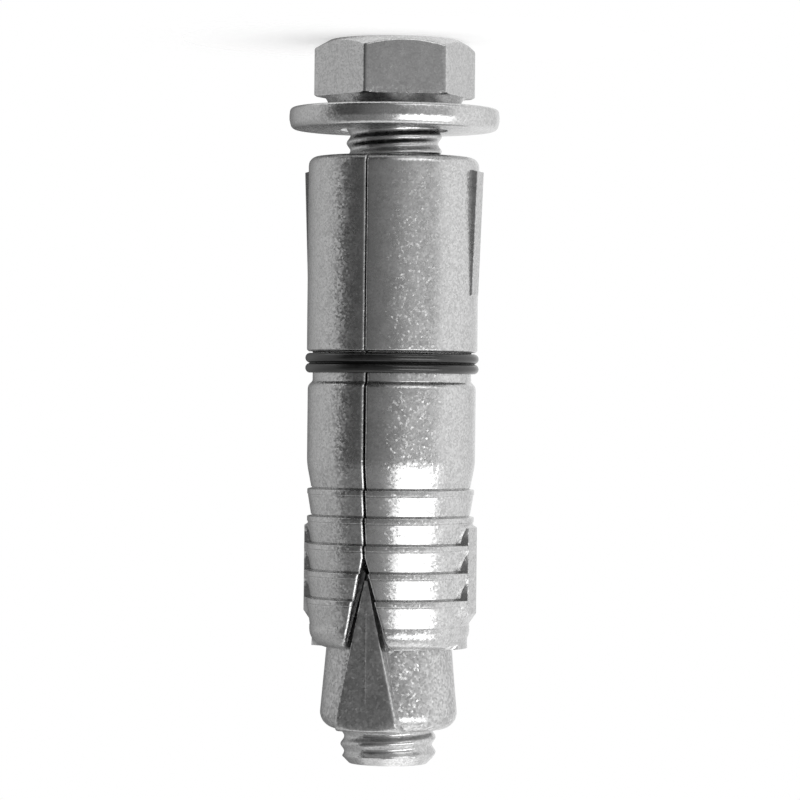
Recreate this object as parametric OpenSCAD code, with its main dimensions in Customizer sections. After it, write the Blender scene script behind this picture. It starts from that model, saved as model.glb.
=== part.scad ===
// Shield type expansion anchor with a loose hexagon bolt, standing on its head, thread end up.
// Z runs along the bolt from the flat top of the head, X points at the middle of one shield half.
// All sizes are in millimetres.

/* [Bolt] */
// Nominal thread diameter; the shank is a plain cylinder of this size
thread_d = 8; // [7:0.1:9]
// Length under the head's bearing face
bolt_l = 54.5; // [52:0.5:70]
// Chamfer of the thread end
tip_chamfer = 0.8; // [0.3:0.1:1.2]
// Hexagon size across the flats
hex_af = 11.8; // [10.5:0.1:14]
// Height of the hexagon without the washer face
hex_h = 4.75; // [3.5:0.05:7]
// Slope of the turned chamfer on the hexagon's corners, in degrees
hex_chamfer = 30; // [20:1:40]
// Diameter of the flat circle on top of the head
head_flat_d = 10.9; // [9:0.1:11.4]
// Diameter where the lower corner chamfer meets the underside
head_under_d = 13.1; // [11.9:0.1:13.4]
// Diameter of the washer face at the end of the collar under the hexagon
collar_d = 10.6; // [9.5:0.1:11.5]
// Height of the collar under the hexagon
collar_h = 0.88; // [0.2:0.02:1.2]
// Spread of the sloping collar from the washer face to the hexagon
collar_spread = 0.5; // [0.1:0.05:0.6]
// Turn of the hexagon against the shield's slit, in degrees
head_turn = 3; // [0:1:30]

/* [Washer] */
// Outside diameter
washer_d = 17.5; // [15:0.1:20]
// Thickness
washer_t = 1.8; // [1.4:0.1:2.5]
// Hole
washer_bore = 8.4; // [8.3:0.1:9]
// Rounding of the stamped edges
washer_round = 0.6; // [0.1:0.05:0.7]
// Play between the washer and the head
washer_seat = 0.02; // [0.01:0.01:0.1]

/* [Shield] */
// Bare thread between the washer and the shield
bare_thread = 2.27; // [1.5:0.01:6]
// Outside diameter of the plain upper barrel
barrel_d = 14.2; // [13.6:0.1:14.8]
// Length of the shield from its top rim to its lower rim
shield_l = 40.75; // [38:0.05:44]
// Play between the top end of the nut and the bore of the upper barrel
bore_play = 0.08; // [0.06:0.01:0.2]
// Rounding of the top rim
rim_round = 0.75; // [0.4:0.05:1.4]
// Rounding of the lower rim
foot_round = 1.5; // [0.8:0.1:1.6]
// Top of the ring groove below the top rim
groove_from_rim = 16.2; // [12:0.05:18]
// Width of the ring groove
groove_w = 2.85; // [2.2:0.05:3.5]
// Depth of the ring groove
groove_depth = 0.5; // [0.4:0.05:0.8]
// Bevel of the groove's upper lip
groove_bevel = 0.15; // [0.05:0.05:0.3]
// Run of the ramp from the groove's floor to the lower barrel
groove_ramp = 0.4; // [0.2:0.05:0.6]
// Drop of the lower barrel's face below the upper barrel
lower_drop = 0.1; // [0.05:0.05:0.4]
// Length of the lower barrel down to the shoulder of its taper
lower_l = 5.9; // [4:0.05:8]
// Length of the taper above the first tooth, with its shoulder
taper_l = 2.6; // [2.2:0.05:3.5]
// Radius of the taper's round shoulder
shoulder_r = 6; // [2:0.5:9]
// Number of teeth
tooth_count = 5; // [3:1:5]
// Spacing of the teeth
tooth_pitch = 2.27; // [1.8:0.01:2.3]
// Height of the flat land of each tooth
tooth_land = 0.65; // [0.3:0.05:0.9]
// Drop of the lands of the teeth below the lower barrel's face
tooth_drop = 0.05; // [0.02:0.01:0.3]
// Depth of the sloping flank behind each land
tooth_depth = 0.32; // [0.2:0.02:0.5]
// Step of the plain foot below the last tooth
foot_step = 0.04; // [0.02:0.02:0.2]

/* [Slit] */
// Width of the slit in the upper barrel
slit_upper_w = 0.08; // [0.04:0.02:0.3]
// Width of the slit below the ring
slit_lower_w = 0.16; // [0.1:0.02:0.4]
// Length of the V notch that opens the slit at the lower rim
notch_l = 7.6; // [6.5:0.1:8.5]
// Width of the V notch at the lower rim
notch_w = 3.95; // [3.6:0.05:5]

/* [Fins] */
// Width of the raised fin across the teeth
fin_w = 2.3; // [1.6:0.1:3.6]
// Length of the raised fin at its foot
fin_l = 8.4; // [6:0.1:9]
// End of the fin above the lower rim
fin_from_foot = 1.95; // [1.6:0.05:3.5]
// Rise of the fin's flat face above the lands of the teeth
fin_rise = 0.27; // [0.1:0.01:0.4]
// Run of the short ramp at the fin's upper end
fin_ramp = 0.3; // [0.2:0.1:1]
// Run of the long ramp at the fin's lower end
fin_tail = 1; // [0.4:0.1:2]
// Width of the wedge fin on the upper barrel
wedge_w = 1.75; // [1:0.05:3]
// Length of the wedge fin
wedge_l = 10.5; // [6:0.1:13]
// Upper end of the wedge fin below the top rim
wedge_from_rim = 1.1; // [1:0.05:3]
// Rise of the wedge fin above the barrel at its upper end
wedge_rise = 0.47; // [0.2:0.01:0.7]
// Rise of the wedge fin above the barrel at its lower end
wedge_tail = 0.1; // [0.05:0.01:0.3]
// Run of the short ramps at the wedge fin's ends
wedge_ramp = 0.15; // [0.1:0.05:0.5]

/* [Ring] */
// Height of the ring, two beads together
ring_h = 1.66; // [1.5:0.02:1.7]
// Rise of the beads above the upper barrel
ring_rise = 0.12; // [0.05:0.01:0.4]
// Play between the ring and the floor of its groove
ring_play = 0.3; // [0.28:0.01:0.34]
// Top of the ring below the groove's upper lip
ring_from_lip = 0.12; // [0.08:0.02:0.5]
// Thickness of the web between the beads
ring_web = 0.1; // [0.06:0.01:0.14]
// Radius of each bead's round face
bead_r = 0.41; // [0.38:0.01:0.5]

/* [Cone nut] */
// Length of the nut
nut_l = 13; // [12:0.1:13.5]
// Part of the nut that stands out of the shield
nut_out = 6.75; // [6:0.05:7.5]
// Largest diameter of the cone
nut_d = 11.4; // [11:0.05:11.5]
// Slope of the cone to the axis, in degrees
cone_slope = 5; // [4.6:0.1:5.2]
// Rounding of the nut's foot
nut_round = 1.35; // [0.6:0.05:1.5]
// Play between the thread and the nut's bore
thread_play = 0.05; // [0.03:0.01:0.1]
// Play between the cone and the mouth of the shield
cone_play = 0.28; // [0.26:0.01:0.4]
// Distance of the rib's flat face from the bolt axis
rib_reach = 6.1; // [5.9:0.05:6.3]
// Width of the rib's flat face at the nut's foot
rib_w = 5.75; // [5:0.05:6]
// Width of the rib's blunt upper end
rib_tip_w = 0.25; // [0.1:0.05:0.4]
// Length of the rib from its upper end to the nut's foot
rib_l = 12.5; // [12.2:0.1:12.9]
// Turned chamfer at the lower end of the rib's flat face
rib_chamfer = 0.5; // [0.2:0.05:1]

/* [Hidden] */
$fn = 96;
e = 0.01;
shank_r = thread_d / 2;
head_h = hex_h + collar_h;
hex_corner_r = hex_af / 2 / cos(30);
washer_z = head_h + washer_seat;
shield_z = washer_z + washer_t + bare_thread;
foot_z = shield_z + shield_l;
barrel_r = barrel_d / 2;
lower_r = barrel_r - lower_drop;
tooth_r = lower_r - tooth_drop;
root_r = tooth_r - tooth_depth;
groove_z = shield_z + groove_from_rim;
groove_end = groove_z + groove_w;
groove_r = barrel_r - groove_depth;
taper_z = groove_end + lower_l;
teeth_z = taper_z + taper_l;
teeth_end = teeth_z + tooth_count * tooth_pitch;
shoulder_c = lower_r - shoulder_r;
shoulder_a = atan2(taper_l, root_r - shoulder_c) - acos(shoulder_r / norm([root_r - shoulder_c, taper_l]));
shoulder_end = taper_z + shoulder_r * sin(shoulder_a);
foot_r = root_r + foot_step;
notch_z = foot_z - notch_l;
fin_end = foot_z - fin_from_foot;
fin_reach = tooth_r + fin_rise;
wedge_z = shield_z + wedge_from_rim;
wedge_in_r = barrel_r - 0.1;
ring_z = groove_z + ring_from_lip;
ring_in_r = groove_r + ring_play;
ring_r = barrel_r + ring_rise;
nut_end = foot_z + nut_out;
nut_z = nut_end - nut_l;
nut_r = nut_d / 2;
cone_end = nut_end - nut_round;
cone_top_r = nut_r - (cone_end - nut_z) * tan(cone_slope);
bore_r = cone_top_r + bore_play;
mouth_r = nut_r - (cone_end - foot_z) * tan(cone_slope) + cone_play;
throat_l = (mouth_r - bore_r) / tan(cone_slope);
rib_z = nut_end - rib_l;
reach = 2 * barrel_r;

// A rectangle with four round corners, standing on the z axis of a turned profile.
module round_bar(x, z, w, h, r) {
  translate([x + r, z]) square([w - 2 * r, h]);
  translate([x, z + r]) square([w, h - 2 * r]);
  for (i = [x + r, x + w - r]) {
    for (k = [z + r, z + h - r]) {
      translate([i, k]) circle(r);
    }
  }
}

// Bolt head: hexagon with turned corner chamfers above and below.
module head() {
  drop = (hex_corner_r + 1 - head_flat_d / 2) * tan(hex_chamfer);
  rise = (hex_corner_r + 1 - head_under_d / 2) * tan(hex_chamfer);
  intersection() {
    rotate([0, 0, 30 + head_turn]) cylinder(r = hex_corner_r, h = hex_h, $fn = 6);
    rotate_extrude() polygon([
      [0, 0],
      [head_flat_d / 2, 0],
      [hex_corner_r + 1, drop],
      [hex_corner_r + 1, hex_h - rise],
      [head_under_d / 2, hex_h],
      [0, hex_h]
    ]);
  }
}

// Hexagon bolt: head, collar and shank in one piece.
module hex_bolt() {
  color([0.78, 0.79, 0.80]) union() {
    head();
    rotate_extrude() polygon([
      [0, hex_h - 1],
      [collar_d / 2 + collar_spread, hex_h - 1],
      [collar_d / 2 + collar_spread, hex_h],
      [collar_d / 2, head_h],
      [shank_r, head_h],
      [shank_r, head_h + bolt_l - tip_chamfer],
      [shank_r - tip_chamfer, head_h + bolt_l],
      [0, head_h + bolt_l]
    ]);
  }
}

// Flat washer, loose on the bolt, lying on the washer face.
module washer() {
  color([0.80, 0.81, 0.82]) rotate_extrude()
    round_bar(washer_bore / 2, washer_z, (washer_d - washer_bore) / 2, washer_t, washer_round);
}

// Outline of the shield wall before the groove and the teeth are cut.
module shield_blank() {
  difference() {
    union() {
      translate([0, shield_z]) square([barrel_r - rim_round, groove_end - shield_z]);
      translate([0, shield_z + rim_round]) square([barrel_r, groove_end - shield_z - rim_round]);
      translate([barrel_r - rim_round, shield_z + rim_round]) circle(rim_round);
      translate([0, groove_end]) square([lower_r, teeth_z - groove_end]);
      translate([0, teeth_z - e]) square([tooth_r, teeth_end - teeth_z + e]);
      translate([0, teeth_end - e]) square([foot_r, foot_z - teeth_end - foot_round + e]);
      translate([0, foot_z - foot_round - e]) square([foot_r - foot_round, foot_round + e]);
      translate([foot_r - foot_round, foot_z - foot_round]) circle(foot_round);
    }
    polygon([
      [-1, shield_z - 1],
      [bore_r, shield_z - 1],
      [bore_r, foot_z - throat_l],
      [mouth_r, foot_z],
      [mouth_r + tan(cone_slope), foot_z + 1],
      [-1, foot_z + 1]
    ]);
  }
}

// Material taken off above the first tooth: a round shoulder that runs into a straight taper.
module taper_cut() {
  difference() {
    translate([lower_r - 0.5, taper_z]) square([1.5, shoulder_end - taper_z]);
    translate([shoulder_c, taper_z]) circle(shoulder_r, $fn = 180);
  }
  polygon([
    [shoulder_c + shoulder_r * cos(shoulder_a), shoulder_end],
    [root_r, teeth_z],
    [lower_r + 1, teeth_z],
    [lower_r + 1, shoulder_end]
  ]);
}

// Turned wall of the shield with its ring groove, taper and row of saw teeth.
module shield_profile() {
  difference() {
    shield_blank();
    polygon([
      [groove_r, groove_z],
      [barrel_r - groove_bevel, groove_z],
      [barrel_r + e, groove_z - groove_bevel],
      [barrel_r + 1, groove_z - groove_bevel],
      [barrel_r + 1, groove_end],
      [lower_r + e, groove_end],
      [groove_r, groove_end - groove_ramp]
    ]);
    taper_cut();
    for (i = [0 : tooth_count - 1]) {
      translate([0, teeth_z + i * tooth_pitch]) polygon([
        [tooth_r, tooth_land],
        [root_r, tooth_pitch],
        [tooth_r + 1, tooth_pitch],
        [tooth_r + 1, tooth_land]
      ]);
    }
  }
}

// Raised fin along the middle of a shield half, crossing the teeth.
module fin() {
  rotate([90, 0, 0]) linear_extrude(fin_w, center = true) polygon([
    [root_r - 0.6, fin_end - fin_l],
    [root_r - 0.1, fin_end - fin_l],
    [fin_reach, fin_end - fin_l + fin_ramp],
    [fin_reach, fin_end - fin_tail],
    [root_r - 0.1, fin_end],
    [root_r - 0.6, fin_end]
  ]);
}

// Wedge fin along the middle of the upper barrel, highest near the top rim and running out downwards.
module wedge_fin() {
  rotate([90, 0, 0]) linear_extrude(wedge_w, center = true) polygon([
    [wedge_in_r - 0.5, wedge_z],
    [wedge_in_r, wedge_z],
    [barrel_r + wedge_rise, wedge_z + wedge_ramp],
    [barrel_r + wedge_tail, wedge_z + wedge_l - wedge_ramp],
    [wedge_in_r, wedge_z + wedge_l],
    [wedge_in_r - 0.5, wedge_z + wedge_l]
  ]);
}

// Space taken from one half by the slit and the V notch, from the middle plane outwards.
module slit() {
  rotate([90, 0, 0]) linear_extrude(2 * reach, center = true) polygon([
    [-reach, shield_z - 1],
    [slit_upper_w / 2, shield_z - 1],
    [slit_upper_w / 2, groove_z],
    [slit_lower_w / 2, groove_end],
    [slit_lower_w / 2, notch_z],
    [notch_w / 2, foot_z],
    [notch_w / 2 + 0.3, foot_z + 1],
    [-reach, foot_z + 1]
  ]);
}

// One pressed half of the shield.
module shield_half() {
  difference() {
    union() {
      rotate_extrude() shield_profile();
      fin();
      wedge_fin();
    }
    slit();
  }
}

// Shield half on the +X side.
module shield_half_right() {
  color([0.76, 0.77, 0.78]) shield_half();
}

// Shield half on the -X side, the same pressing turned half round.
module shield_half_left() {
  color([0.76, 0.77, 0.78]) rotate([0, 0, 180]) shield_half();
}

// Elastic ring with two round beads that holds the halves together.
module retaining_ring() {
  color([0.06, 0.06, 0.06]) rotate_extrude() {
    translate([ring_in_r, ring_z + bead_r]) square([ring_web, ring_h - 2 * bead_r]);
    for (k = [ring_z + bead_r, ring_z + ring_h - bead_r]) {
      intersection() {
        translate([ring_r - bead_r, k]) circle(bead_r);
        translate([ring_in_r, ring_z]) square([ring_r, ring_h]);
      }
    }
  }
}

// Rib of the nut that slides in the shield's notch: a flat faced wedge with its blunt tip up the bolt.
module rib() {
  rotate([90, 0, 0]) linear_extrude(rib_reach) polygon([
    [-rib_tip_w / 2, rib_z],
    [rib_tip_w / 2, rib_z],
    [rib_w / 2, nut_end],
    [-rib_w / 2, nut_end]
  ]);
}

// Turned body of the nut with its round foot.
module nut_body() {
  rotate_extrude() {
    polygon([
      [0, nut_z],
      [cone_top_r, nut_z],
      [nut_r, cone_end],
      [0, cone_end]
    ]);
    translate([0, cone_end - e]) square([nut_r - nut_round, nut_round + e]);
    intersection() {
      translate([nut_r - nut_round, cone_end]) circle(nut_round);
      translate([0, cone_end - e]) square([nut_r, nut_round + 1]);
    }
  }
}

// Turned shape that chamfers the lower end of the ribs.
module rib_limit() {
  limit_r = norm([rib_reach, rib_w / 2]) + 1;
  rotate_extrude() polygon([
    [0, nut_z - 1],
    [limit_r, nut_z - 1],
    [limit_r, nut_end - rib_chamfer - limit_r + rib_reach],
    [rib_reach - rib_chamfer, nut_end],
    [0, nut_end]
  ]);
}

// Cone nut with two ribs and a plain bore in place of its thread.
module cone_nut() {
  color([0.72, 0.73, 0.74]) difference() {
    union() {
      nut_body();
      intersection() {
        union() {
          rib();
          rotate([0, 0, 180]) rib();
        }
        rib_limit();
      }
    }
    translate([0, 0, nut_z - 1]) cylinder(r = shank_r + thread_play, h = nut_l + 2);
  }
}

hex_bolt();
washer();
shield_half_right();
shield_half_left();
retaining_ring();
cone_nut();
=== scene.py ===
import math
import bmesh
import bpy
import numpy as np
from mathutils import Matrix, Vector


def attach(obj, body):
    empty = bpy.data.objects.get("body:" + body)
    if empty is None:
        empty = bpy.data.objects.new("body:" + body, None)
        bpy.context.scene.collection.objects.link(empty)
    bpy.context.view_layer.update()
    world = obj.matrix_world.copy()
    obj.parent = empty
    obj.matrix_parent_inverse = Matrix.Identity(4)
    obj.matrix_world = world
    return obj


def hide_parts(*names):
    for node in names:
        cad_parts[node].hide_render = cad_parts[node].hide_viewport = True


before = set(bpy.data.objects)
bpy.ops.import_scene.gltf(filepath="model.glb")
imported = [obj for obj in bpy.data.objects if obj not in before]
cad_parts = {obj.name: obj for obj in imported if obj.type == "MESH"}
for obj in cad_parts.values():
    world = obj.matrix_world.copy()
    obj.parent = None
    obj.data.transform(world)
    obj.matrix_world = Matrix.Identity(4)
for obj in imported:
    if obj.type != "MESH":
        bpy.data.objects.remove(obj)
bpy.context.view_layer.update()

# Hexagon bolt
# A cold forged steel bolt, standing on its head: hexagon with turned corners, a sloping collar under it,
# and a right-hand thread rolled up to the head. Bright zinc plated.
MM = 0.001


def linear(code):
    """sRGB hex colour as linear RGBA."""
    rgb = [int(code[i:i + 2], 16) / 255 for i in (1, 3, 5)]
    return [c / 12.92 if c <= 0.04045 else ((c + 0.055) / 1.055) ** 2.4 for c in rgb] + [1.0]


def add(tree, kind, settings=None, links=None):
    """Adds a node with its settings, by property or socket, and its links from other nodes' outputs."""
    node = tree.nodes.new(kind)
    for key, value in (settings or {}).items():
        if key == "stops":
            for i, (place, code) in enumerate(value):
                stop = node.color_ramp.elements[i] if i < 2 else node.color_ramp.elements.new(place)
                stop.position, stop.color = place, linear(code)
        elif isinstance(key, int) or key in node.inputs:
            node.inputs[key].default_value = value
        else:
            setattr(node, key, value)
    for key, source in (links or {}).items():
        tree.links.new(source, node.inputs[key])
    return node


def zinc(name, dull, bright, smooth, rough, grain_mm, glint, flash=2.0):
    """Electroplated zinc on steel: a grey mirror broken up into fine crystal facets that glint."""
    mat = bpy.data.materials.new(name)
    mat.use_nodes = True
    tree = mat.node_tree
    shader = tree.nodes["Principled BSDF"]
    shader.inputs["Metallic"].default_value = 1.0
    place = add(tree, "ShaderNodeTexCoord").outputs["Object"]
    grain = add(tree, "ShaderNodeTexVoronoi", {"Scale": 1 / (grain_mm * MM)}, {"Vector": place})
    cloud = add(tree, "ShaderNodeTexNoise", {"Scale": 1 / (1.2 * MM), "Detail": 4.0, "Roughness": 0.6},
                {"Vector": place})
    chance = add(tree, "ShaderNodeSeparateColor", {}, {0: grain.outputs["Color"]})
    mottle = add(tree, "ShaderNodeMix", {"Factor": 0.35}, {2: chance.outputs["Red"], 3: cloud.outputs["Fac"]})
    tone = add(tree, "ShaderNodeValToRGB", {"stops": [(0.1, dull), (0.9, bright)]},
               {"Fac": mottle.outputs[0]})
    tree.links.new(tone.outputs["Color"], shader.inputs["Base Color"])
    gloss = add(tree, "ShaderNodeMapRange",
                {"From Min": 0.3, "From Max": 0.7, "To Min": smooth, "To Max": rough},
                {"Value": cloud.outputs["Fac"]})
    tree.links.new(gloss.outputs["Result"], shader.inputs["Roughness"])
    wave = add(tree, "ShaderNodeBump", {"Strength": 0.5, "Distance": 0.01 * MM},
               {"Height": cloud.outputs["Fac"]})
    lean = add(tree, "ShaderNodeVectorMath", {"operation": "SUBTRACT", 1: (0.5, 0.5, 0.5)},
               {0: grain.outputs["Color"]})
    spark = add(tree, "ShaderNodeMapRange", {"From Min": 0.8, "To Min": glint, "To Max": flash * glint},
                {"Value": chance.outputs["Blue"]})
    facet = add(tree, "ShaderNodeVectorMath", {"operation": "SCALE"},
                {0: lean.outputs["Vector"], "Scale": spark.outputs["Result"]})
    tipped = add(tree, "ShaderNodeVectorMath", {"operation": "ADD"},
                 {0: facet.outputs["Vector"], 1: wave.outputs["Normal"]})
    even = add(tree, "ShaderNodeVectorMath", {"operation": "NORMALIZE"}, {0: tipped.outputs["Vector"]})
    tree.links.new(even.outputs["Vector"], shader.inputs["Normal"])
    return mat


def piece(name, verts, faces, body, node, material):
    """Makes a shown piece from millimetres, ties it to its body, hides the CAD node it replaces and gives it
    its material.
    """
    mesh = bpy.data.meshes.new(name)
    mesh.from_pydata([tuple(float(c) * MM for c in v) for v in verts], [], faces)
    bm = bmesh.new()
    bm.from_mesh(mesh)
    bmesh.ops.remove_doubles(bm, verts=bm.verts, dist=2e-7)
    bmesh.ops.dissolve_degenerate(bm, edges=bm.edges, dist=2e-7)
    bmesh.ops.recalc_face_normals(bm, faces=bm.faces)
    bm.to_mesh(mesh)
    bm.free()
    for poly in mesh.polygons:
        poly.use_smooth = True
    mesh.set_sharp_from_angle(angle=math.radians(35))
    mesh.materials.append(material)
    obj = bpy.data.objects.new(name, mesh)
    bpy.context.scene.collection.objects.link(obj)
    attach(obj, body)
    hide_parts(node)
    return obj


def rounded(path, steps=6):
    """Polyline through (a, b, fillet) corners, each corner turned into an arc of its fillet."""
    out = []
    for i, (a, b, fillet) in enumerate(path):
        p = np.array([a, b], float)
        if fillet <= 0 or i in (0, len(path) - 1):
            out.append(p)
            continue
        u, v = np.array(path[i - 1][:2]) - p, np.array(path[i + 1][:2]) - p
        lu, lv = np.linalg.norm(u), np.linalg.norm(v)
        u, v = u / lu, v / lv
        half = math.acos(max(-1, min(1, float(u @ v)))) / 2
        cut = min(fillet / math.tan(half), 0.48 * lu, 0.48 * lv)
        centre = p + (u + v) / np.linalg.norm(u + v) * (cut / math.cos(half))
        start, stop = p + u * cut - centre, p + v * cut - centre
        sweep = math.atan2(start[0] * stop[1] - start[1] * stop[0], float(start @ stop))
        for t in np.linspace(0, sweep, steps + 1):
            out.append(centre + [start[0] * math.cos(t) - start[1] * math.sin(t),
                                 start[0] * math.sin(t) + start[1] * math.cos(t)])
    return np.array(out)


def rows(count, wide, first=0, close=True):
    """Quads between successive rows of wide vertices, closed round the axis or left open."""
    quads = []
    for i in range(count - 1):
        a = first + i * wide
        for j in range(wide if close else wide - 1):
            k = (j + 1) % wide
            quads.append((a + j, a + k, a + wide + k, a + wide + j))
    return quads


# hexagon of 11.8 mm across flats with slightly worn corners, 3 degrees past the middle of the slit
flats, head_tall, head_turn = 11.8, 4.75, 3
bearings = [math.radians(30 + head_turn + 60 * k) for k in range(6)]
corner = [np.array([math.cos(t), math.sin(t)]) * (flats / 2) / math.cos(math.pi / 6) for t in bearings]
outline = []
for k in range(6):
    a, b, c = corner[k], corner[(k + 1) % 6], corner[(k + 2) % 6]
    arc = rounded([(*((a + b) / 2), 0), (*b, 0.35), (*((b + c) / 2), 0)], 8)[1:-1]
    outline += list(arc) + [arc[-1] + (c - b) * t for t in np.linspace(0.04, 0.9, 14)]
outline = np.array(outline)
reach = np.linalg.norm(outline, axis=1)
unit = outline / reach[:, None]
slope = math.tan(math.radians(30))
top = (reach - 5.45) * slope
low = head_tall - np.maximum(0, reach - 6.55) * slope
level = np.ones_like(reach)
flat_top = [(0.02, 0), (2.5, 0), (4.6, 0), (5.25, 0), (5.38, 0.008), (5.47, 0.04)]
head = [(level * r, level * z) for r, z in flat_top]
chamfer = [(0.3, 0.02), (0.12, 0.02), (0.05, 0.03), (0.015, 0.06)]
head += [(reach - d, top - d * slope + s) for d, s in chamfer]
head += [(reach, top + (low - top) * t) for t in (0.035, 0.2, 0.4, 0.6, 0.8, 0.99)]
head += [(reach - 0.004, low - 0.012), (reach - 0.015, low - 0.003),
         (np.minimum(reach - 0.1, 6.0), np.minimum(low + 0.04, 4.74))]
collar = [(5.82, 4.745), (5.77, 4.79), (5.35, 5.54), (5.28, 5.61), (5.15, 5.63), (3.2, 5.63)]
head += [(level * r, level * z) for r, z in collar]
verts = [(r[j] * unit[j][0], r[j] * unit[j][1], z[j]) for r, z in head for j in range(len(reach))]
faces = rows(len(head), len(reach))
faces.append(tuple(range(len(reach))))
faces.append(tuple(range((len(head) - 1) * len(reach), len(head) * len(reach))))

# thread of 8 mm by 1.25 mm, its root and crest rounded by the plating, wound up to the chamfered end
pitch, around = 1.25, 72
shape = [(0.0, 0.0), (0.07, 0.04), (0.15, 0.18), (0.23, 0.4), (0.31, 0.65), (0.39, 0.87), (0.46, 0.98),
         (0.54, 0.98), (0.61, 0.87), (0.69, 0.65), (0.77, 0.4), (0.85, 0.18), (0.93, 0.04)]
start, tip = 4.9, 60.13
root, crest_over_root, end_circle = 3.66, 0.31, 3.25
turns = int((tip + 3 - start) / pitch) + 1
first = len(verts)
for k in range((turns + 1) * len(shape) + 1):
    place, share = shape[k % len(shape)]
    for j in range(around):
        z = 4.253 - pitch + pitch * (k // len(shape) + place + j / around)
        r = min(root + crest_over_root * share, end_circle + max(0.0, tip - z))
        if not start < z < tip:
            # the first row past an end lies on its edge, the others close the end face
            r = min(end_circle, max(0.0, end_circle - 3 * (max(z - tip, start - z) - 0.1)))
        t = 2 * math.pi * j / around
        verts.append((r * math.cos(t), r * math.sin(t), min(max(z, start), tip)))
for k in range(turns * len(shape)):
    for j in range(around):
        a = first + k * around + j
        b = a + 1 if j + 1 < around else first + (k + len(shape)) * around
        faces.append((a, b, b + around, a + around))
# Bright zinc over forged steel: the forged faces keep a fine scale texture, the rolled thread shines.
plated = zinc("bright_zinc_forged", "#b6b6b6", "#dcdcdc", 0.21, 0.28, 0.14, 0.08)
piece("hexagon_bolt", verts, faces, "bolt", "hex_bolt", plated)

# Washer
# A stamped flat steel disc, loose on the bolt, its edges rolled round by the punch and by tumbling.
# Bright zinc plated.


def turned(profile, around):
    """Verts and quads of a closed profile in radius and height, turned round the axis."""
    made = [(r * math.cos(2 * math.pi * j / around), r * math.sin(2 * math.pi * j / around), z)
            for r, z in profile for j in range(around)]
    last = (len(profile) - 1) * around
    quads = rows(len(profile), around)
    quads += [(last + j, last + (j + 1) % around, (j + 1) % around, j) for j in range(around)]
    return made, quads


under, over, hole = 5.65, 7.45, 4.2
edge = rounded([(6.2, under, 0), (hole, under, 0.3), (hole, over, 0.3), (8.56, over, 0.5), (8.75, 6.68, 0.9),
                (8.75, 6.3, 0.5), (8.68, under, 0.5), (6.3, under, 0)], 10)
verts, faces = turned(edge, 160)
# Bright zinc over stamped steel, a little smoother than the bolt's head.
stamped = zinc("bright_zinc_stamped", "#bcbcbc", "#dedede", 0.22, 0.3, 0.14, 0.08)
piece("flat_washer", verts, faces, "washer", "washer", stamped)

# Shield halves
# Two identical half tubes pressed from steel strip: plain upper barrel with a wedge fin, ring groove, lower
# barrel and saw teeth with a fin across them. The press leaves the long edges and the rims soft.
rim, foot, notch = 9.72, 50.47, 50.47 - 7.6
tooth_pitch, land, root_r, bore_r = 2.27, 6.95, 6.63, 4.761
teeth = [37.27 + tooth_pitch * i for i in range(5)]
path = [(bore_r, rim, 0), (7.1, rim, 0.75), (7.1, 25.77, 0.1), (6.95, 25.92, 0.06), (6.6, 25.93, 0.1),
        (6.6, 28.37, 0.3), (7.0, 28.77, 0.8)]
# round shoulder of 6 mm that runs into the straight taper above the first tooth
lean = math.atan2(2.6, root_r - 1.0) - math.acos(6 / math.hypot(root_r - 1.0, 2.6))
path += [(1.0 + 6 * math.cos(t), 34.67 + 6 * math.sin(t), 0) for t in np.linspace(0, lean, 9)]
# each tooth: a sharp nick and a step out, a short land, the mark of the roller's edge and the flank
for z in teeth:
    path += [(root_r, z - 0.13, 0), (6.5, z - 0.04, 0.02), (land, z + 0.06, 0.08), (land, z + 0.46, 0.03),
             (6.88, z + 0.5, 0.02), (6.885, z + 0.6, 0.06)]
path += [(root_r, 48.6, 0.05), (6.67, 48.64, 0.05)]
path += [(5.17 + 1.5 * math.cos(t), foot - 1.5 + 1.5 * math.sin(t), 0) for t in np.linspace(0, 1.34, 14)]
path += [(5.508, foot - 0.03, 0)]
outer = rounded(path)
wedge = [10.82, 10.97, 21.17, 21.32]
fin = [40.12, 40.42, 47.52, 48.52]
filled = [outer[0]]
for p, q in zip(outer, outer[1:]):
    stations = [t for t in (np.array(wedge + fin) - p[1]) / max(1e-9, q[1] - p[1]) if 0.001 < t < 0.999]
    between = int(abs(q[1] - p[1]) / 0.45)
    stations += list(np.arange(1, between + 1) / (between + 1)) + [1.0]
    filled += [p + (q - p) * t for t in sorted(stations)]
outer = np.array(filled)
throat = foot - (5.508 - bore_r) / math.tan(math.radians(5))
fan = list(np.linspace(42, 74, 20))
share = np.array([0, 0.07, 0.18, 0.35, 0.6, 1.0, 1.4])


def slit(z):
    """Half the width of the slit between the halves, which opens into the notch at the foot."""
    return float(np.interp(z, [rim, 25.92, 28.77, notch, foot], [0.04, 0.04, 0.08, 0.08, 1.975]))


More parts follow.
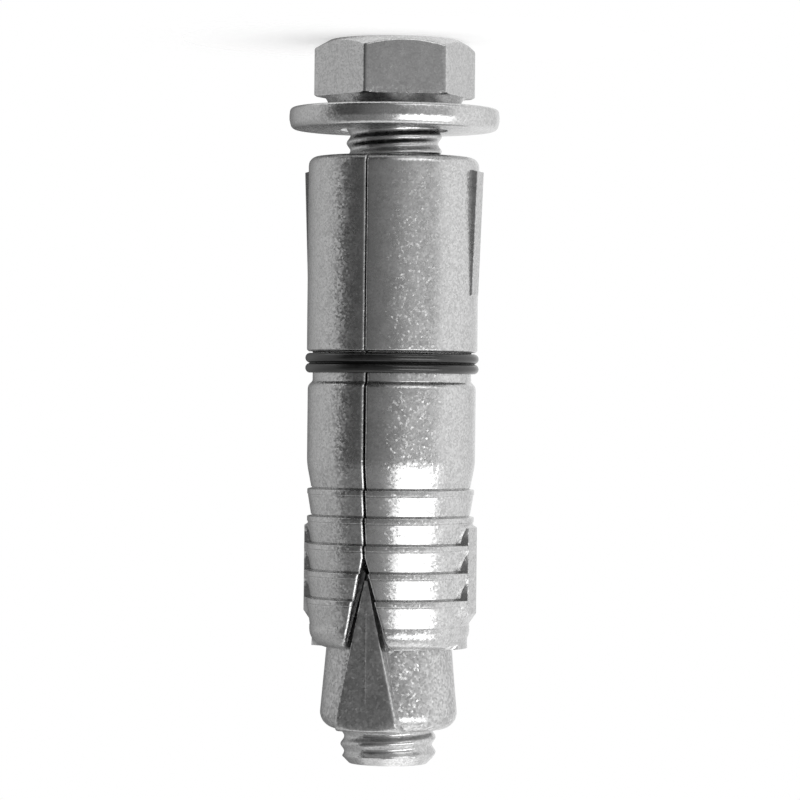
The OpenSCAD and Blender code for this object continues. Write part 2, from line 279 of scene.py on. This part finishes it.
verts = []
for r, z in outer:
    gap = slit(z)
    soft = float(np.interp(z, [25.7, 28.7, notch, foot - 6], [0.17, 0.19, 0.2, 0.22]))
    # distance of the fin's flat face from the axis, and half the fin's width
    if z < 27:
        face, width = np.interp(z, wedge, [7.0, 7.57, 7.2, 7.0], 6.4, 6.4), 0.875
    else:
        face, width = np.interp(z, fin, [6.49, 7.22, 7.22, 6.49]), 1.15
    corner_at = 90 - math.degrees(math.atan2(width, max(face, r)))
    wall_at = 90 - math.degrees(math.asin(width / r)) - 0.15
    # the metal swells up to the fin at each land and at its tail, and leaves its side bare over the flank
    behind = (z - teeth[0]) % tooth_pitch
    swell = float(z > 47.3)
    if 27 < z < 47:
        swell = float(np.interp(behind, [0.0, 0.06, 0.5, 1.6, 2.1], [0.0, 1.0, 1.0, 0.0, 0.0]))
    swell *= max(0.0, face + 0.05 - r) if z > 27 else 0.0
    begin = math.asin(gap / r)
    near = list(begin + share * soft / r)
    near += list(np.linspace(near[-1], math.radians(fan[0]), 16))[1:-1] + [math.radians(a) for a in fan]
    near += [math.radians(wall_at + a) for a in (-1.5, -0.5, 0, 0.2)]
    near += [math.radians(corner_at + a) for a in (0, 0.35, 1.0)]
    near += list(np.linspace(math.radians(corner_at + 2), math.pi / 2, 6))
    angles = near + [math.pi - a for a in near[-2::-1]]
    for a in angles:
        along = (min(a, math.pi - a) - begin) * r
        radius = r - (soft - math.sqrt(max(0.0, soft ** 2 - (soft - along) ** 2)) if along < soft else 0.0)
        off = 90 - math.degrees(min(a, math.pi - a))
        radius += swell * max(0.0, 1 - max(0.0, off + wall_at - 90) / 9) ** 1.5
        if off < 90 - corner_at + 0.01 and face > 6.5:
            worn = 0.05 if off > 89.99 - corner_at else 0.0
            radius = max(radius, face / math.cos(math.radians(off)) - worn)
        verts.append((radius * math.sin(a), -radius * math.cos(a), z))
wide, tall = len(angles), len(outer)
for r, z in outer:
    inside = bore_r + max(0.0, z - throat) * math.tan(math.radians(5))
    begin = math.asin(slit(z) / inside)
    # the inner edges beside the slit are eased, so that the cone slides in between the opened halves
    ease = float(np.interp(z, [38.5, 40.0], [0.0, 0.06]))
    for a in np.linspace(begin, math.pi - begin, wide):
        bore = inside + ease * max(0.0, 1 - (min(a, math.pi - a) - begin) * inside / 0.6)
        verts.append((bore * math.sin(a), -bore * math.cos(a), z))
inner = wide * tall
faces = rows(tall, wide, 0, False) + rows(tall, wide, inner, False)
for i in range(tall - 1):
    a, b = i * wide, (i + 1) * wide
    faces += [(a, b, inner + b, inner + a),
              (a + wide - 1, b + wide - 1, inner + b + wide - 1, inner + a + wide - 1)]
for j in range(wide - 1):
    for a in (0, (tall - 1) * wide):
        faces.append((a + j, a + j + 1, inner + a + j + 1, inner + a + j))
half = np.array(verts)
# Zinc over pressed strip: bright bands with a grain that breaks them up where light meets dark.
pressed = zinc("bright_zinc_pressed", "#b6b6b6", "#e0e0e0", 0.24, 0.31, 0.15, 0.11)
piece("shield_right", half, faces, "half_right", "shield_half_right", pressed)
piece("shield_left", half * [-1, -1, 1], faces, "half_left", "shield_half_left", pressed)

# Elastic ring
# A moulded black rubber band with two round beads, stretched into the shield's groove to hold the halves.
low = 26.04
bead = []
for middle in (low + 0.41, low + 1.25):
    bead += [(6.81 + 0.41 * math.cos(t), middle + 0.41 * math.sin(t)) for t in np.linspace(-1.34, 1.34, 19)]
verts, faces = turned(np.array(bead), 160)
# Moulded rubber: nearly black, with a soft shine and a faint mould grain.
rubber = bpy.data.materials.new("black_rubber")
rubber.use_nodes = True
tree = rubber.node_tree
shader = tree.nodes["Principled BSDF"]
shader.inputs["IOR"].default_value = 1.55
shader.inputs["Specular IOR Level"].default_value = 0.7
place = add(tree, "ShaderNodeTexCoord").outputs["Object"]
dust = add(tree, "ShaderNodeTexNoise", {"Scale": 1 / (0.5 * MM), "Detail": 4.0}, {"Vector": place})
tone = add(tree, "ShaderNodeValToRGB", {"stops": [(0.35, "#101010"), (0.7, "#202020")]},
           {"Fac": dust.outputs["Fac"]})
tree.links.new(tone.outputs["Color"], shader.inputs["Base Color"])
sheen = add(tree, "ShaderNodeMapRange", {"To Min": 0.18, "To Max": 0.3}, {"Value": dust.outputs["Fac"]})
tree.links.new(sheen.outputs["Result"], shader.inputs["Roughness"])
skin = add(tree, "ShaderNodeTexNoise", {"Scale": 1 / (0.12 * MM), "Detail": 2.0}, {"Vector": place})
pimple = add(tree, "ShaderNodeBump", {"Strength": 0.3, "Distance": 0.01 * MM},
             {"Height": skin.outputs["Fac"]})
tree.links.new(pimple.outputs["Normal"], shader.inputs["Normal"])
piece("elastic_ring", verts, faces, "ring", "retaining_ring", rubber)

# Cone nut
# A cold formed steel cone with a threaded bore and two flat faced ribs that slide in the shield's notches.
# The forming die leaves a fine line down the middle of each rib. Zinc plated.
end, nut_top, rib_top, rib_long, rib_face, foot_round = 57.22, 44.22, 44.72, 12.5, 6.1, 1.35
levels = list(np.linspace(nut_top, rib_top, 3)) + list(np.linspace(44.76, end - 1.8, 40))
levels += list(np.linspace(end - 1.75, end - foot_round, 5))
levels += [end - foot_round + foot_round * math.sin(t) for t in np.linspace(0.08, math.pi / 2, 20)]
verts = []
for z in levels:
    up = z - (end - foot_round)
    if up < 0:
        cone = 5.7 + up * math.tan(math.radians(5))
    else:
        cone = 4.35 + math.sqrt(max(0.0, foot_round ** 2 - up ** 2))
    wall = 0.125 + (z - rib_top) / rib_long * 2.75 if z >= rib_top else 0.004
    limit = 5.5 + math.sqrt(max(0.0, 1.44 - max(0.0, z - end + 1.2) ** 2))
    face = max(min(rib_face, limit), cone) if z >= rib_top else cone
    turn = math.atan2(wall, face)
    stop = max(turn + 0.002, math.asin(min(0.95, wall / cone)) + 0.01)
    quarter = [0, turn * 0.008, turn * 0.03, turn * 0.06] + list(np.linspace(turn * 0.15, turn * 0.9, 6))
    quarter += [turn * 0.95, turn * 0.98, turn, turn + (stop - turn) * 0.08]
    quarter += list(turn + (stop - turn) * np.array([0.2, 0.4, 0.6, 0.8, 0.93]))
    quarter += list(np.linspace(stop, math.pi / 2, 14))
    full = quarter + [math.pi - a for a in quarter[-2::-1]]
    full += [math.pi + a for a in full[1:-1]]
    for a in full:
        c, s = max(abs(math.cos(a)), 1e-6), max(abs(math.sin(a)), 1e-6)
        # flat face and wall meet in a slightly worn edge; the die line stands 0.02 mm proud
        flat = face / c + (0.02 * math.exp(-(face * s / c / 0.05) ** 2) if 47 < z < 55 else 0.0)
        worn = (flat ** -44 + (wall / s) ** -44 + limit ** -44) ** (-1 / 44)
        r = max(cone, worn)
        verts.append((r * math.sin(a), -r * math.cos(a), z))
around, count = len(full), len(levels)
for radius, z in ((4.35, end), (4.05, end - 0.3), (4.05, nut_top)):
    verts += [(radius * math.sin(a), -radius * math.cos(a), z) for a in full]
faces = rows(count + 3, around)
last = (count + 2) * around
faces += [(last + j, last + (j + 1) % around, (j + 1) % around, j) for j in range(around)]
# Zinc over formed steel: coarser and more speckled than the shield, because the die face was rough.
formed = zinc("bright_zinc_formed", "#a4a4a4", "#e2e2e2", 0.28, 0.4, 0.18, 0.17, 2.0)
piece("ribbed_cone_nut", verts, faces, "nut", "cone_nut", formed)

# Table and surround
# A white table top that takes the anchor's shadow and runs out a short way from it into the white surround.
bpy.ops.mesh.primitive_circle_add(vertices=96, radius=0.06, fill_type="NGON", location=(0, 0, -0.00002))
floor = bpy.context.object
floor.name = "floor"
paper = bpy.data.materials.new("white_table")
paper.use_nodes = True
tree = paper.node_tree
tree.nodes.remove(tree.nodes["Principled BSDF"])
matt = add(tree, "ShaderNodeBsdfDiffuse", {"Color": linear("#c8c8c8")})
ray = add(tree, "ShaderNodeLightPath")
seen = add(tree, "ShaderNodeMath", {"operation": "MAXIMUM"},
           {0: ray.outputs["Is Camera Ray"], 1: ray.outputs["Is Glossy Ray"]})
bare = add(tree, "ShaderNodeEmission", {"Color": linear("#c8c8c8")}, {"Strength": seen.outputs[0]})
lit = add(tree, "ShaderNodeAddShader", {}, {0: matt.outputs[0], 1: bare.outputs[0]})
open_air = add(tree, "ShaderNodeBsdfTransparent")
spot = add(tree, "ShaderNodeTexCoord").outputs["Object"]
far = add(tree, "ShaderNodeVectorMath", {"operation": "LENGTH"}, {0: spot})
early = add(tree, "ShaderNodeMath", {"operation": "MULTIPLY", 1: 0.015}, {0: ray.outputs["Is Glossy Ray"]})
out = add(tree, "ShaderNodeMath", {"operation": "ADD"}, {0: far.outputs["Value"], 1: early.outputs[0]})
fade = add(tree, "ShaderNodeMapRange",
           {"From Min": 0.009, "From Max": 0.024, "interpolation_type": "SMOOTHSTEP"},
           {"Value": out.outputs[0]})
mixed = add(tree, "ShaderNodeMixShader", {},
            {0: fade.outputs["Result"], 1: lit.outputs[0], 2: open_air.outputs[0]})
tree.links.new(mixed.outputs[0], tree.nodes["Material Output"].inputs["Surface"])
floor.data.materials.append(paper)

# The room is white. Card walls of different greys stand round the anchor, hidden from the camera and seen
# in the plating: pale to the left, dark beside the camera, grey in front and white to the right, ending short
# of the white behind the anchor. Angles run from the camera to the right.
view = math.radians(-18.6)
toward = (math.sin(view), -math.cos(view), 0.0)
across = (-math.cos(view), -math.sin(view), 0.0)
lower = [(-180, "#5a5a5a"), (-160, "#7e7e7e"), (-132, "#bebebe"), (-105, "#cccccc"), (-82, "#c6c6c6"),
         (-70, "#525252"), (-42, "#505050"), (-30, "#727272"), (0, "#848484"), (17, "#9c9c9c"),
         (26, "#b8b8b8"), (40, "#bebebe"), (60, "#b8b8b8"), (68, "#ffffff"), (110, "#ffffff"),
         (136, "#e8e8e8"), (150, "#e8e8e8")]
upper = [(-180, "#5a5a5a"), (-160, "#8a8a8a"), (-132, "#acacac"), (-82, "#bcbcbc"), (-70, "#7c7c7c"),
         (-30, "#888888"), (0, "#a0a0a0"), (58, "#bcbcbc"), (68, "#ffffff"), (150, "#f8f8f8")]
ground = [(-102, "#3c3c3c"), (-20, "#3c3c3c"), (8, "#8c8c8c"), (30, "#b0b0b0"), (102, "#a0a0a0")]
strips = (("ground_cards", -102, 102, -3.0, -0.75, ground),
          ("lower_cards", -180, 150, -0.75, 0.25, lower),
          ("upper_cards", -180, 150, 0.25, 6.0, upper))
for name, left, stop, bottom, top, greys in strips:
    turns = np.radians(np.arange(left, stop + 1, 3))
    stands = [Vector(toward) * math.cos(t) + Vector(across) * math.sin(t) for t in turns]
    verts = [(at.x, at.y, z) for z in (bottom, top) for at in stands]
    mesh = bpy.data.meshes.new(name)
    mesh.from_pydata(verts, [], rows(2, len(turns), 0, False))
    walls = bpy.data.objects.new(name, mesh)
    walls.visible_camera = False
    bpy.context.scene.collection.objects.link(walls)
    card = bpy.data.materials.new("painted_card_" + name)
    card.use_nodes = True
    tree = card.node_tree
    tree.nodes.remove(tree.nodes["Principled BSDF"])
    way = add(tree, "ShaderNodeTexCoord").outputs["Object"]
    ahead = add(tree, "ShaderNodeVectorMath", {"operation": "DOT_PRODUCT", 1: toward}, {0: way})
    right = add(tree, "ShaderNodeVectorMath", {"operation": "DOT_PRODUCT", 1: across}, {0: way})
    angle = add(tree, "ShaderNodeMath", {"operation": "ARCTAN2"},
                {0: right.outputs["Value"], 1: ahead.outputs["Value"]})
    place = add(tree, "ShaderNodeMapRange", {"From Min": -math.pi, "From Max": math.pi},
                {"Value": angle.outputs[0]})
    paint = add(tree, "ShaderNodeValToRGB", {"stops": [((a + 180) / 360, c) for a, c in greys]},
                {"Fac": place.outputs["Result"]})
    glow = add(tree, "ShaderNodeEmission", {"Strength": 1.0}, {"Color": paint.outputs["Color"]})
    tree.links.new(glow.outputs[0], tree.nodes["Material Output"].inputs["Surface"])
    mesh.materials.append(card)
world = bpy.data.worlds.new("white_room")
bpy.context.scene.world = world
world.use_nodes = True
world.node_tree.nodes["Background"].inputs["Color"].default_value = linear("#ffffff")


def softbox(name, turn, tilt, distance, width, tall, bright):
    """Area lamp aimed at the anchor; turn and tilt in degrees from the camera's side, bright 1 is white."""
    a = math.radians(turn)
    flat = Vector(toward) * math.cos(a) + Vector(across) * math.sin(a)
    where = flat * math.cos(math.radians(tilt)) + Vector((0, 0, math.sin(math.radians(tilt))))
    lamp = bpy.data.lights.new(name, "AREA")
    lamp.shape = "RECTANGLE"
    lamp.size, lamp.size_y = width, tall
    lamp.energy = bright * math.pi * width * tall
    obj = bpy.data.objects.new(name, lamp)
    obj.location = where * distance + Vector((0, 0, 0.03))
    obj.rotation_mode = "QUATERNION"
    obj.rotation_quaternion = (-where).to_track_quat("-Z", "Y")
    bpy.context.scene.collection.objects.link(obj)
    return obj


softbox("front_softbox", 36, 26, 0.6, 0.62, 0.27, 2.4)
softbox("low_softbox", 36, -40, 0.6, 0.5, 0.22, 1.4)
softbox("table_lamp", 0, 89, 0.7, 0.8, 0.8, 0.5)

# Camera: level with the middle of the anchor and upside down, so that the head shows at the top.
distance = 0.320
eye = Vector(toward) * distance + Vector((0, 0, 0.0287))
aim = Vector((0, 0, 0.0299)) + Vector(across) * 0.0007
ahead = (aim - eye).normalized()
up = Matrix.Rotation(math.radians(-0.6), 3, ahead) @ Vector((0, 0, -1))
side = ahead.cross(up).normalized()
lens = bpy.data.cameras.new("photo_camera")
lens.sensor_width, lens.lens = 36, 172.8
lens.clip_start, lens.clip_end = 0.01, 10
camera = bpy.data.objects.new("photo_camera", lens)
facing = Matrix((side, side.cross(ahead), -ahead)).transposed().to_4x4()
camera.matrix_world = Matrix.Translation(eye) @ facing
bpy.context.scene.collection.objects.link(camera)
bpy.context.scene.camera = camera
bpy.context.scene.view_settings.view_transform = "Standard"
